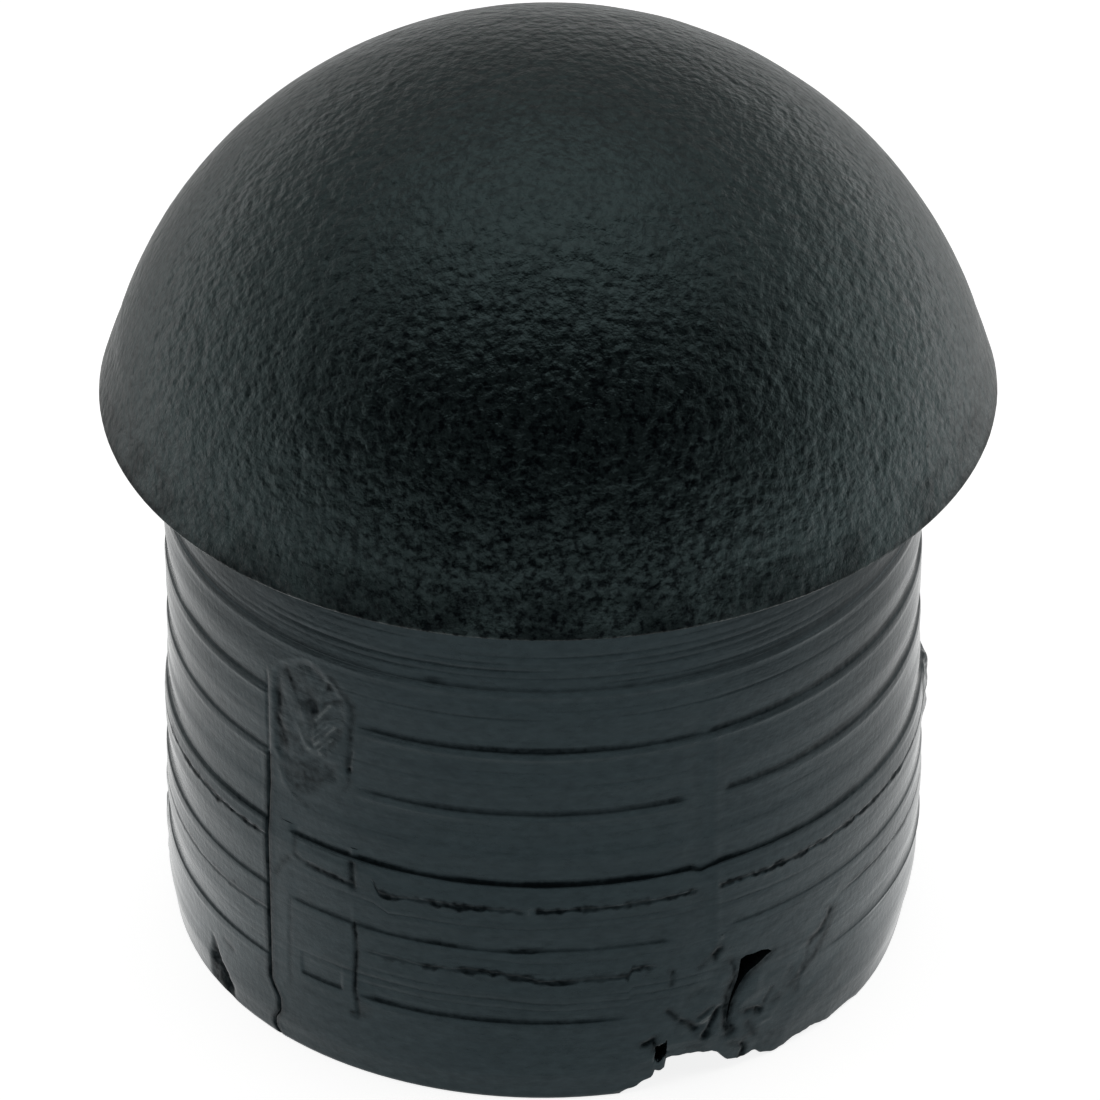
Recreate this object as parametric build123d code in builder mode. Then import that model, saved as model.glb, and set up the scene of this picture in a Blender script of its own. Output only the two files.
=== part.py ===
"""Domed push-in end cap for a round steel tube, moulded in one piece.

A dome head covers the tube's end. Below it a hollow shank with barbed bands grips the bore.
The cap stands on the shank's open end: the origin is the centre of that end, +Z is up
through the dome and -Y is the front. Azimuths are degrees from the front towards +X.
Lengths are millimetres.
"""

import os
from math import cos, radians, sin

from build123d import *

# Head
head_diameter = 25.4
rim_height = 17.15
rim_edge = 0.12
skirt_lean = 17.5  # degrees from upright
skirt_length = 1.45

# Shank: a stack of barbed bands, listed from the open end up
lower_band_heights = [2.7, 2.5, 2.3]
upper_band_heights = [2.4, 2.1, 2.1]
lower_crest_radius = 10.95
upper_crest_radius = 10.82
barb_depth = 0.14
lead_in_height = 0.9
neck_radius = 10.68

# Cavity, open at the bottom
wall_thickness = 2.0
cavity_depth = 20.0
mouth_chamfer = 0.3

# Mould split line up the wall
split_azimuth = -45.2
split_top = 9.9
split_width = 0.16
split_depth = 0.28

# Sheared gate, a shield-shaped scar whose point is down
gate_azimuth = -37.3
gate_height = 11.4
gate_depth = 0.24
gate_half_width = 1.4
gate_top = 2.4
gate_shoulder = 1.2
gate_waist = -0.9
gate_point = -2.2

# Blank panels of a mould insert, each an engraved frame listed as (centre height, height)
panel_azimuth = -35.4
panel_frames = [(3.62, 3.25), (7.02, 1.25)]
panel_width = 2.32
panel_line = 0.12
panel_depth = 0.26

# Breaks in the lower wall: outlines along and up the wall
tear_azimuth = 33.0
tear_height = 3.6
tear_outline = [
    (-0.53, 0.28),
    (-0.10, 0.37),
    (0.34, 0.28),
    (0.64, 0.07),
    (-0.02, -0.23),
    (-0.36, -0.48),
    (-0.72, -0.95),
    (-0.80, -2.20),
    (-0.92, -0.88),
    (-0.60, -0.42),
]
chip_azimuth = 24.0
chip_overrun = 1.0
chip_outline = [
    (-2.35, 0.00),
    (-1.42, 0.45),
    (-1.34, 1.12),
    (-1.02, 0.90),
    (-0.76, 1.04),
    (0.38, 0.84),
    (0.86, 0.38),
    (1.20, 0.22),
    (1.38, 0.42),
    (2.40, 0.00),
]
nick_azimuth = -58.6
nick_depth = 0.6
nick_outline = [
    (-0.93, -0.20),
    (-0.80, 1.31),
    (0.15, 1.64),
    (0.82, 0.98),
    (0.53, -0.20),
]

# Worked out from the driving dimensions
head_radius = head_diameter / 2
rim_corner_radius = head_radius + rim_edge * sin(radians(skirt_lean))
cavity_radius = upper_crest_radius - barb_depth - wall_thickness
through_wall = 2 * wall_thickness


def wall_plane(azimuth, height):
    """A plane on the shank's crest, facing outward, with x along the wall and y up."""
    turn = radians(azimuth)
    outward = Vector(sin(turn), -cos(turn), 0)
    along = Vector(cos(turn), sin(turn), 0)
    origin = outward * lower_crest_radius + Vector(0, 0, height)
    return Plane(origin=origin, x_dir=along, z_dir=outward)


def band_outline(bottom, height, crest_radius):
    """Half section of one barbed band: a short lead-in, then a land under a square ledge."""
    return [
        (crest_radius - barb_depth, bottom),
        (crest_radius, bottom + lead_in_height),
        (crest_radius, bottom + height),
    ]


# Half section of the shank's bands, from the open end to the topmost ledge
shank_points = []
band_bottom = 0
for band_height in lower_band_heights:
    shank_points += band_outline(band_bottom, band_height, lower_crest_radius)
    band_bottom += band_height
for band_height in upper_band_heights:
    shank_points += band_outline(band_bottom, band_height, upper_crest_radius)
    band_bottom += band_height

with BuildPart() as end_cap:
    # Shank, neck and dome, turned about the axis
    with BuildSketch(Plane.XZ):
        with BuildLine():
            Polyline(
                (0, 0),
                *shank_points,
                (neck_radius, band_bottom),
                (neck_radius, rim_height),
                (rim_corner_radius, rim_height),
            )
            rim_corner = (rim_corner_radius, rim_height)
            skirt = PolarLine(rim_corner, skirt_length, 90 + skirt_lean)
            # the crown's centre is on the axis, so it meets the skirt smoothly
            # and the dome closes level
            crown = JernArc(
                start=skirt @ 1,
                tangent=skirt % 1,
                radius=(skirt @ 1).X / cos(radians(skirt_lean)),
                arc_size=90 - skirt_lean,
            )
            Line(crown @ 1, (0, 0))
        section = make_face()
        rim = section.vertices().sort_by(Axis.X)[-1]
        chamfer(rim, rim_edge)
    revolve(axis=Axis.Z)

    # Cavity that lets the shank squeeze inward
    with BuildSketch():
        Circle(cavity_radius)
    extrude(amount=cavity_depth, mode=Mode.SUBTRACT)
    open_end = end_cap.faces().sort_by(Axis.Z)[0]
    mouth = open_end.edges().sort_by(SortBy.RADIUS)[0]
    chamfer(mouth, mouth_chamfer)

    # Split line
    with BuildSketch(wall_plane(split_azimuth, split_top / 2)):
        Rectangle(split_width, split_top)
    extrude(amount=-split_depth, mode=Mode.SUBTRACT)

    # Gate scar
    with BuildSketch(wall_plane(gate_azimuth, gate_height)):
        with BuildLine():
            head_arc = ThreePointArc(
                (-gate_half_width, gate_shoulder),
                (0, gate_top),
                (gate_half_width, gate_shoulder),
            )
            Polyline(
                head_arc @ 1,
                (gate_half_width, gate_waist),
                (0, gate_point),
                (-gate_half_width, gate_waist),
                head_arc @ 0,
            )
        make_face()
    extrude(amount=-gate_depth, mode=Mode.SUBTRACT)

    # Panel frames
    for frame_height, frame_length in panel_frames:
        with BuildSketch(wall_plane(panel_azimuth, frame_height)):
            Rectangle(panel_width, frame_length)
            Rectangle(
                panel_width - 2 * panel_line,
                frame_length - 2 * panel_line,
                mode=Mode.SUBTRACT,
            )
        extrude(amount=-panel_depth, mode=Mode.SUBTRACT)

    # Torn hole and the slit that runs down from it
    with BuildSketch(wall_plane(tear_azimuth, tear_height)):
        with BuildLine():
            Polyline(*tear_outline, close=True)
        make_face()
    extrude(amount=through_wall, both=True, mode=Mode.SUBTRACT)

    # Chip out of the open end
    with BuildSketch(wall_plane(chip_azimuth, 0)):
        with BuildLine():
            Polyline(*chip_outline)
            Polyline(chip_outline[0], (0, -chip_overrun), chip_outline[-1])
        make_face()
    extrude(amount=through_wall, both=True, mode=Mode.SUBTRACT)

    # Nick in the open end's corner
    with BuildSketch(wall_plane(nick_azimuth, 0)):
        with BuildLine():
            Polyline(*nick_outline, close=True)
        make_face()
    extrude(amount=-nick_depth, mode=Mode.SUBTRACT)

end_cap.part.label = "end_cap"

os.makedirs("parts", exist_ok=True)
export_step(end_cap.part, "parts/end_cap.step")
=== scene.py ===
"""Looks of the domed rubber tube end cap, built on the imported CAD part.

The cap is one moulded piece. A dense turned mesh replaces the CAD node and carries the barbed rings,
the torn rings, the gate scar, the split, the panel frames and the breaks at the foot.
Mesh work is in millimetres. Azimuths are degrees from the front (-Y) towards +X.
"""

import math

import bmesh
import bpy
import numpy as np
from mathutils import Matrix, Vector


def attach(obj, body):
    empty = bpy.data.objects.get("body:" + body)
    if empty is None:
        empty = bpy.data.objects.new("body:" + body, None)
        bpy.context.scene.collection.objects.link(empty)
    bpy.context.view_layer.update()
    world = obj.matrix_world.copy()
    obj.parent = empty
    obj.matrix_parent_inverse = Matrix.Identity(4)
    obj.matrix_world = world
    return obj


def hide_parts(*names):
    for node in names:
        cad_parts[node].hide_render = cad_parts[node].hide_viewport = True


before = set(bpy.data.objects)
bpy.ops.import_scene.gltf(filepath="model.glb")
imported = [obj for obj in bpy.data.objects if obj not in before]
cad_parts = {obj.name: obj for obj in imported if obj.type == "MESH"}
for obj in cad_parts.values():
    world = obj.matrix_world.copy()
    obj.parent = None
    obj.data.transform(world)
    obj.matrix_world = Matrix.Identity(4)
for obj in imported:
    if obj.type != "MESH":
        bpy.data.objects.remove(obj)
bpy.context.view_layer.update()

MM = 0.001

# ---------------------------------------------------------------- the part's sizes
HEAD_RADIUS = 12.7
RIM_HEIGHT = 17.15
RIM_ROUND = 0.07
SKIRT_LEAN = math.radians(17.5)
SKIRT_LENGTH = 1.45
LOWER_CREST, UPPER_CREST = 10.95, 10.82
BARB = 0.14
LEAD_IN = 0.9
SPLIT_AZIMUTH = -45.2
BORE = 8.68
BORE_DEPTH = 20.0
MOUTH = 0.3
HEAD_SHIFT = 0.15  # how far the head sits to +X of the shank's axis
FOOT_BLEND = 2.4  # the foot's breaks pull the marks up to this height
WALL_RADIUS = 10.84  # where lengths round the wall are measured
DEGREE = math.radians(1) * WALL_RADIUS  # a degree round the wall, in millimetres

# burrs at the sides: azimuth, height, half width, half height, how far they stand out
BURRS = [
    (92, 6.7, 4.2, 0.90, 0.14), (92, 3.6, 4.0, 0.42, 0.04), (-91, 1.6, 4.0, 1.10, 0.075), (-91, 3.6, 4.0, 0.25, 0.04),
]
# ring lines, from the open end up: height, and at the front the step above it, the lip below it and
# how dark its corner is painted: painted shade, laid on as lost gloss
LEDGES = {
    "H": (2.72, 0.050, 0.006, 0.88),
    "F": (5.21, 0.044, 0.006, 0.84),
    "D": (7.50, 0.085, 0.006, 1.00),
    "C": (9.88, 0.036, 0.016, 0.80),
    "B": (12.02, 0.044, 0.020, 0.86),
    "A": (14.10, 0.022, 0.020, 0.60),
}
TEARS = {"G": 4.25, "E": 6.67}
# fine turning lines: height, depth
FINE = [
    (3.20, 0.007), (3.45, 0.009), (3.70, 0.006), (4.85, 0.005), (6.05, 0.008), (6.25, 0.005), (8.60, 0.005),
    (9.20, 0.004), (10.90, 0.004), (11.35, 0.004), (13.17, 0.009), (13.45, 0.004), (13.70, 0.006), (14.34, 0.013),
    (14.55, 0.009), (14.80, 0.015), (15.02, 0.008), (15.26, 0.012), (15.55, 0.010), (15.82, 0.008), (16.15, 0.006),
]

# how strongly each line shows, as (azimuth, strength)
STRENGTH = {
    "A": [
        (-180, 0.8), (-56, 0.8), (-35, 0.7), (-18.5, 0.6), (-17.8, 1.5), (-15.8, 1.5), (-15, 0.7), (40, 0.8),
        (180, 0.8),
    ],
    "B": [
        (-180, 0.8), (-46.0, 0.8), (-45.2, 0), (-28.6, 0), (-27.0, 0.7), (-20, 0.85), (-14, 1.05), (2, 1.1),
        (12, 0.8), (20, 0.8), (23, 0.7), (24.6, 0.35), (26.2, 1.0), (40, 0.9), (180, 0.8),
    ],
    "C": [
        (-180, 0.8), (-46.0, 0.8), (-45.2, 0), (-29.6, 0), (-26.0, 0.6), (-16, 0.8), (-6, 0.95), (4, 0.9),
        (12, 0.75), (20.5, 1.0), (21.8, 0), (27.4, 0), (28.6, 0.9), (44, 0.9), (180, 0.8),
    ],
    "D": [
        (-180, 0.8), (-46.0, 0.8), (-45.2, 0), (-41.2, 0), (-39.8, 0.9), (-30.4, 1.0), (-29.6, 0.5), (-28.6, 1.0),
        (-18, 0.85), (-8, 1.1), (10, 1.0), (22, 1.05), (23.4, 0.7), (24.6, 0.6), (26.6, 0.9), (32, 0.8), (42, 0.75),
        (180, 0.7),
    ],
    "E": [
        (-180, 0.5), (-79, 0.5), (-75, 0.95), (-62, 1.05), (-48.6, 0.95), (-46.0, 0.4), (-45.2, 0), (-26.4, 0),
        (-25.8, 1.0), (-23, 1.1), (-21, 0.55), (-17.5, 0.6), (-15, 0.95), (-9, 1.0), (-7.5, 0.5), (-3.5, 0.45),
        (-2.6, 0.0), (-1.6, 0.0), (-1.0, 1.0), (4.8, 1.0), (5.5, 0.7), (12.5, 0.75), (13.2, 0.35), (15, 0.7),
        (22, 0.8), (23.4, 0), (26.2, 0), (27.2, 1.0), (38, 1.0), (39.5, 0.5), (41, 0.9), (46, 1.0), (48, 0.8),
        (62, 0.85), (65, 1.25), (67.5, 1.25), (69, 0.7), (73, 0.6), (180, 0.4),
    ],
    "F": [
        (-180, 0.8), (-46.0, 0.8), (-45.2, 0), (-41.4, 0), (-39.4, 0.7), (-30.0, 0.8), (-29.4, 0.4), (-28.2, 0.9),
        (-19, 0.8), (-17, 1.1), (-13, 1.1), (-11, 0.7), (-5, 0.7), (-4.3, 1.3), (-1.2, 1.3), (-0.5, 0.6), (15, 0.6),
        (17.6, 0.7), (19, 0), (28.0, 0), (30, 0.45), (50, 0.4), (180, 0.6),
    ],
    "G": [
        (-180, 0.4), (-46.0, 0.4), (-45.2, 0), (-28.0, 0), (-26.0, 0.4), (-19, 0.35), (-17.5, 0.9), (-15.4, 0.9),
        (-14.8, 0.35), (-13, 0.4), (-12, 1.2), (-6.5, 1.2), (-5.5, 0.8), (-3, 0.7), (-2, 1.2), (3.5, 1.1),
        (4.5, 0.5), (9, 0.4), (11, 0.8), (15.5, 0.75), (17, 0), (50, 0), (53, 0.5), (60, 0.5), (180, 0.35),
    ],
    "H": [
        (-180, 0.8), (-46.0, 0.8), (-45.2, 0), (-39.2, 0), (-38.8, 0.9), (-31.9, 0.9), (-31.4, 0), (-28.6, 0),
        (-28.0, 1.1), (-10, 1.0), (9, 0.85), (12.0, 0), (42, 0), (50, 0.35), (70, 0.5), (180, 0.8),
    ],
}

# ---------------------------------------------------------------- smooth random fields
TABLE = np.random.default_rng(11).uniform(-1, 1, (32, 32, 32))


def noise(x, y, z, pitch, seed=0):
    """Smooth random field in -1..1 with a knot every `pitch` millimetres."""
    q = np.stack(np.broadcast_arrays(x, y, z), -1) / pitch + seed * 5.37
    i = np.floor(q).astype(int)
    f = q - i
    f = f * f * (3 - 2 * f)
    total = 0
    for a in (0, 1):
        for b in (0, 1):
            for c in (0, 1):
                weight = (
                    (f[..., 0] if a else 1 - f[..., 0])
                    * (f[..., 1] if b else 1 - f[..., 1])
                    * (f[..., 2] if c else 1 - f[..., 2])
                )
                total = total + weight * TABLE[(i[..., 0] + a) % 32, (i[..., 1] + b) % 32, (i[..., 2] + c) % 32]
    return total


def smooth(x, low, high):
    t = np.clip((x - low) / (high - low), 0, 1)
    return t * t * (3 - 2 * t)


def bell(x, width):
    return np.exp(-((x / width) ** 2))


def through(knots, x):
    """The value at x of the line through (x, value) knots."""
    return np.interp(x, [k[0] for k in knots], [k[1] for k in knots])


def round_wall(azimuth):
    """Where azimuths lie on a circle in the wall."""
    return WALL_RADIUS * np.sin(np.radians(azimuth)), -WALL_RADIUS * np.cos(np.radians(azimuth))


def lay(layer, amount):
    """Raise a layer of paint to `amount` where that is more."""
    np.maximum(layer, amount, out=layer)


def near_path(azimuth, height, points):
    """Distance in millimetres along the wall from a line through (azimuth, height) points."""
    best = np.full(np.shape(azimuth), 1e9)
    for (a0, h0), (a1, h1) in zip(points, points[1:]):
        dx, dy = (a1 - a0) * DEGREE, h1 - h0
        px, py = (azimuth - a0) * DEGREE, height - h0
        t = np.clip((px * dx + py * dy) / (dx * dx + dy * dy), 0, 1)
        best = np.minimum(best, np.hypot(px - t * dx, py - t * dy))
    return best


def inside(azimuth, height, polygon):
    """Whether wall points lie in a polygon of (azimuth, height) corners."""
    result = np.zeros(np.shape(azimuth), bool)
    for (a0, h0), (a1, h1) in zip(polygon, polygon[1:] + polygon[:1]):
        if h0 == h1:
            continue
        crosses = (height > h0) != (height > h1)
        at = a0 + (height - h0) * (a1 - a0) / (h1 - h0)
        result ^= crosses & (azimuth < at)
    return result


def soft_inside(azimuth, height, polygon, edge):
    """1 well inside the polygon, 0 outside, ramping over `edge` millimetres."""
    distance = near_path(azimuth, height, polygon + polygon[:1])
    return np.where(inside(azimuth, height, polygon), smooth(distance, 0, edge), 0)


# ---------------------------------------------------------------- the sheet of cells
# One closed sheet runs from the roof's middle down the bore, out over the foot, up the wall and over
# the dome. Its cells are 2.4 degrees wide, and are split finer where the wall is marked.
COUNT, FIRST, STEP = 150, -179.6, 2.4
ACROSS, UP = 8, 4  # the finest split of a cell

inner_profile = [(r, BORE_DEPTH) for r in (1.2, 3, 5, 7, BORE - 0.25)]
inner_profile += [(BORE - 0.08, BORE_DEPTH - 0.07), (BORE, BORE_DEPTH - 0.25)]
inner_profile += [(BORE, z) for z in (19, 17, 15, 13, 11, 9, 7, 5, 3.5, 2.2, 1.0, MOUTH)]
inner_profile += [(r, 0.0) for r in (BORE + MOUTH, 9.2, 9.7, 10.1, 10.45)]

# rows up the wall: close together at every line, and even between them
BY_LEDGE = (-0.30, -0.24, -0.19, -0.13, -0.06, -0.02, 0.0, 0.015, 0.035, 0.06, 0.09, 0.14, 0.22)
BY_TEAR = (-0.19, -0.14, -0.10, -0.07, -0.04, -0.01, 0.02, 0.05, 0.08, 0.12, 0.17, 0.22)
heights = {0.0, 0.05}
for level, *_ in LEDGES.values():
    heights |= {round(level + offset, 4) for offset in BY_LEDGE}
for level in TEARS.values():
    heights |= {round(level + offset, 4) for offset in BY_TEAR}
for level, _ in FINE:
    near = {round(level + offset, 4) for offset in (-0.045, -0.015, 0.015, 0.045)}
    heights |= {h for h in near if min(abs(h - known) for known in heights) > 0.012}
for start, stop, step in ((0.12, 9.0, 0.13), (9.0, 14.0, 0.11), (14.0, 16.9, 0.12)):
    for value in np.arange(start, stop - step * 0.5, step):
        if min(abs(value - h) for h in heights) > 0.05:
            heights.add(round(value, 4))
heights |= {RIM_HEIGHT - 0.2, RIM_HEIGHT - 0.1, RIM_HEIGHT - 0.04, RIM_HEIGHT}
rows = np.array(sorted(heights))

head_profile = [(r, RIM_HEIGHT) for r in (11.0, 11.4, 11.8, 12.2, 12.5)]
for k in range(5):
    angle = math.radians(-90 + k * (90 + math.degrees(SKIRT_LEAN)) / 4)
    rim_r = HEAD_RADIUS - RIM_ROUND + RIM_ROUND * math.cos(angle)
    rim_h = RIM_HEIGHT + RIM_ROUND + RIM_ROUND * math.sin(angle)
    head_profile.append((rim_r, rim_h))
skirt = SKIRT_LENGTH - (rim_h - RIM_HEIGHT) / math.cos(SKIRT_LEAN)
for t in (0.25, 0.5, 0.75, 1.0):
    along = skirt * t
    head_profile.append((rim_r - along * math.sin(SKIRT_LEAN), rim_h + along * math.cos(SKIRT_LEAN)))
skirt_r, skirt_h = head_profile[-1]
sphere = skirt_r / math.cos(SKIRT_LEAN)
centre = skirt_h - sphere * math.sin(SKIRT_LEAN)
DOME_ROWS = 48
for k in range(1, DOME_ROWS):
    angle = SKIRT_LEAN + (math.pi / 2 - SKIRT_LEAN) * k / DOME_ROWS
    head_profile.append((sphere * math.cos(angle), centre + sphere * math.sin(angle)))

inner_count, wall_end = len(inner_profile), len(inner_profile) + len(rows)
sheet_rows = wall_end + len(head_profile)
levels = np.concatenate([np.zeros(inner_count), rows, np.full(len(head_profile), RIM_HEIGHT)])

# how finely each cell is split
cell_t = FIRST + STEP * (np.arange(COUNT) + 0.5)[None, :] + np.zeros((sheet_rows - 1, 1))
cell_s = (levels[:-1] + levels[1:])[:, None] / 2 + np.zeros((1, COUNT))
on_wall = np.zeros(sheet_rows - 1, bool)
on_wall[inner_count : wall_end - 1] = True
tall = (levels[1:] - levels[:-1] > 0.06)[:, None]
split_across = np.ones(cell_t.shape, int)
split_up = np.ones(cell_t.shape, int)


def refine(t0, t1, s0, s1, across, up):
    """Split the wall's cells between two azimuths and two heights."""
    here = (cell_t > t0) & (cell_t < t1) & (cell_s > s0) & (cell_s < s1) & on_wall[:, None]
    split_across[here] = np.maximum(split_across[here], across)
    split_up[here & tall] = np.maximum(split_up[here & tall], up)


for patch in (
    (-47.6, -42.8, -1, 13.1, 8, 1),
    (-47.6, -27.5, 8.6, 14.3, 8, 2),
    (SPLIT_AZIMUTH, -27.5, 1.7, 7.8, 8, 1),
    (SPLIT_AZIMUTH, -27.5, 6.2, 7.7, 8, 2),
    (12.4, 50.0, -1, 4.9, 8, 2),
    (14, 31, 4.9, 12.6, 4, 1),
    (-66, -52, -1, 2.6, 8, 2),
):
    refine(*patch)
for where, level, half_width, half_height, _ in BURRS:
    wide, high = 2 * half_width, half_height + 0.1
    refine(where - wide, where + wide, level - high, level + high, 4, 2)
for level in TEARS.values():
    refine(-100, 100, level - 0.2, level + 0.22, 4, 1)
    refine(-66, 68, level - 0.2, level + 0.23, 8, 1)
from_mouth = np.arange(sheet_rows - 1)[:, None] >= inner_count - 5
split_across[(cell_t > 9) & (cell_t < 50) & from_mouth & (cell_s <= 0.05)] = ACROSS

# the cells' corners, numbered on a lattice that has every split
cells = []
used = np.zeros(((sheet_rows - 1) * UP + 1, COUNT * ACROSS), bool)
for i in range(sheet_rows - 1):
    for j in range(COUNT):
        wide, high = ACROSS // split_across[i, j], UP // split_up[i, j]
        for c0 in range(j * ACROSS, (j + 1) * ACROSS, wide):
            for r0 in range(i * UP, (i + 1) * UP, high):
                cells.append((r0, r0 + high, c0, c0 + wide))
corner = np.array(cells)
for r in (0, 1):
    for c in (2, 3):
        used[corner[:, r], corner[:, c] % (COUNT * ACROSS)] = True
number = np.full(used.shape, -1)
number[used] = np.arange(used.sum())
lattice_row, lattice_column = np.nonzero(used)
sheet_row, part = lattice_row // UP, (lattice_row % UP) / UP
azimuth = FIRST + STEP / ACROSS * lattice_column

# ---------------------------------------------------------------- the foot's broken edge
CHIP = [
    (-180, 0), (11.2, 0), (11.8, 0.05), (14.0, 0.22), (16.2, 0.42), (16.6, 0.66), (17.4, 0.62), (18.1, 0.70),
    (18.3, 1.00), (19.3, 1.03), (20.8, 1.00), (22.4, 0.97), (24.5, 0.90), (25.9, 0.84), (26.9, 0.72), (28.5, 0.36),
    (30.4, 0.25), (31.5, 0.30), (32.7, 0.36), (33.5, 0.33), (34.5, 0.13), (36.7, 0.02), (38.4, 0.06), (40.9, 0.13),
    (44.1, 0.18), (45.4, 0.15), (46.5, 0.04), (48.6, 0.05), (51.5, 0.07), (53.8, 0.08), (56, 0.0), (180, 0),
]


def foot_at(t):
    """How far the foot's edge is broken away at an azimuth."""
    edge = through(CHIP, t)
    x, y = round_wall(t)
    ragged = 0.04 * noise(x, y, 0 * x, 0.25, 97) + 0.02 * noise(x, y, 0 * x, 0.12, 96)
    return np.clip(edge + np.where(edge > 0.01, ragged, 0), 0, None)


# ---------------------------------------------------------------- the wall
# T is the azimuth and S the height on the plain wall, A and H are those of the marks, R is the radius
is_wall = (sheet_row >= inner_count) & (sheet_row < wall_end)
T = azimuth[is_wall]
S = levels[sheet_row[is_wall]]
S = S + part[is_wall] * (levels[np.minimum(sheet_row[is_wall] + 1, wall_end - 1)] - S)
ax, ay = round_wall(T)


def wander(amount, pitch, seed):
    """A wavering round the wall."""
    return amount * noise(ax, ay, 0 * ax, pitch, seed)


# the lines wander, and the wall between them follows: its real height at each azimuth
LINES = "HGFEDCBA"
moves = {name: wander(0.012, 4, i) + wander(0.004, 0.8, 50 + i) for i, name in enumerate(LINES)}
moves["E"] += wander(0.03, 0.9, 21) + wander(0.02, 0.3, 22)
moves["E"] += through(
    [(-26.6, 0.3), (-26.1, 0.26), (-25.2, -0.12), (-23.6, -0.16), (-19, 0.02), (0, 0), (24, 0.1), (28, 0.02)], T
)
moves["G"] += wander(0.03, 0.9, 23) + wander(0.025, 0.3, 24)
moves["G"] += through(
    [
        (-60, 0), (-26, 0.2), (-18, 0.15), (-12, 0.22), (-7, 0.2), (-4, 0.1), (-1, -0.07), (4, -0.05),
        (10, -0.02), (12.5, -0.05), (12.9, 0.17), (17, 0.19),
    ],
    T,
)
moves["D"] -= 0.12 * bell(T - 23.6, 1.1) + 0.05 * bell(T - 25.2, 1.4)
moves["B"] -= 0.05 * bell(T - 24.4, 1.0)
moves["F"] += 0.05 * smooth(T, -1.2, -0.4) * (1 - smooth(T, 12, 18)) - 0.02 * bell(T + 2.8, 1.5)
anchors = np.array([0.0] + [TEARS[n] if n in TEARS else LEDGES[n][0] for n in LINES] + [RIM_HEIGHT])
shifts = np.array([0 * T] + [moves[n] for n in LINES] + [0 * T])
gap = np.clip(np.searchsorted(anchors, S, side="right") - 1, 0, len(anchors) - 2)
share = (S - anchors[gap]) / (anchors[gap + 1] - anchors[gap])
each = np.arange(len(S))
H = S + shifts[gap, each] * (1 - share) + shifts[gap + 1, each] * share

foot = foot_at(T)
H = np.where(S < FOOT_BLEND, foot + H * (1 - foot / FOOT_BLEND), H)

# the split wanders sideways near the foot
SPLIT_BENDS = [(0.06, 1.3), (0.29, 0.1), (0.59, 0.35), (0.92, 1.55), (1.4, 1.5), (1.92, -0.25), (2.9, -0.3)]
split_shift = through(SPLIT_BENDS, S)
split_distance = np.abs(T - SPLIT_AZIMUTH)
A = T + split_shift * (1 - smooth(split_distance, 1.3, 5))
X0, Y0 = round_wall(A)


def skin_noise(pitch, seed):
    """A smooth random field over the wall."""
    return noise(X0, Y0, H, pitch, seed)


def ring_noise(pitch, seed):
    """As skin_noise, but the same all the way up the wall."""
    return noise(X0, Y0, 0 * X0, pitch, seed)


# the bands: flush at the front where the rings were torn smooth, stepped at the sides
R = np.interp(S, [6.9, 8.8], [LOWER_CREST, UPPER_CREST])
side = smooth(np.abs(A), 36, 88)
right_side = smooth(A, 25, 60) * (1 - smooth(A, 110, 160))
matt_and_shade = np.zeros_like(A)  # 1 where a cut or a corner has lost its gloss, and where shade is painted: ring corners, grooves, hollows, shadow sides
torn_and_highlight = np.zeros_like(A)  # 1 where the rubber is torn open, and painted highlight on raised lips: paler
R -= BARB * np.clip(1 - S / LEAD_IN, 0, 1) * (0.5 + 0.5 * side)
for name, (level, step, lip, dull_and_shade) in LEDGES.items():
    d = S - level
    force = through(STRENGTH[name], A) * (0.9 + 0.2 * ring_noise(1.1, 40 + ord(name)))
    depth = step * (1 - side) + BARB * side
    reach = 0.032 + 0.045 * side
    lead = 1.0 if name == "A" else np.clip(1 - d / LEAD_IN, 0, 1)
    R -= depth * force * (1 - np.exp(-np.maximum(d, 0) / reach)) * lead
    wide = (0.12 if name in "ABC" else 0.085) * np.clip(force, 0.2, 1.3) * (1 + 0.7 * right_side)
    wide += 0.05 * right_side
    # painted shade in the ring's corner: a soft dark band up from the corner, with a ragged edge
    ragged_height = d + 0.012 * skin_noise(0.22, 240 + ord(name)) + 0.010 * skin_noise(0.7, 250 + ord(name))
    corner = smooth(ragged_height, -0.05, 0.015) * np.where(ragged_height < wide, 1, bell(ragged_height - wide, 0.07 + 0.05 * right_side))
    lay(matt_and_shade, dull_and_shade * np.clip(force, 0, 1.1) * corner * (1 - 0.5 * side + 0.2 * right_side))
    lip_even = np.clip(0.8 + 0.6 * ring_noise(1.6, 46 + ord(name)), 0, 1.3)
    R += (lip * (1 - side) + 0.022 * side) * np.minimum(force, 1) * lip_even * bell(d + 0.2, 0.06)
    R -= 0.012 * np.minimum(force, 1) * smooth(d, -0.07, 0.0) * (d <= 0)
    # painted highlight: the lip below the line is painted pale, as where it catches the light
    if name in "ABC":
        on_lip = bell(d + (0.19 if name == "A" else 0.25), 0.055)
        lay(torn_and_highlight, 0.30 * np.minimum(force, 1) * lip_even * (1 - 0.5 * side) * on_lip)
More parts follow.
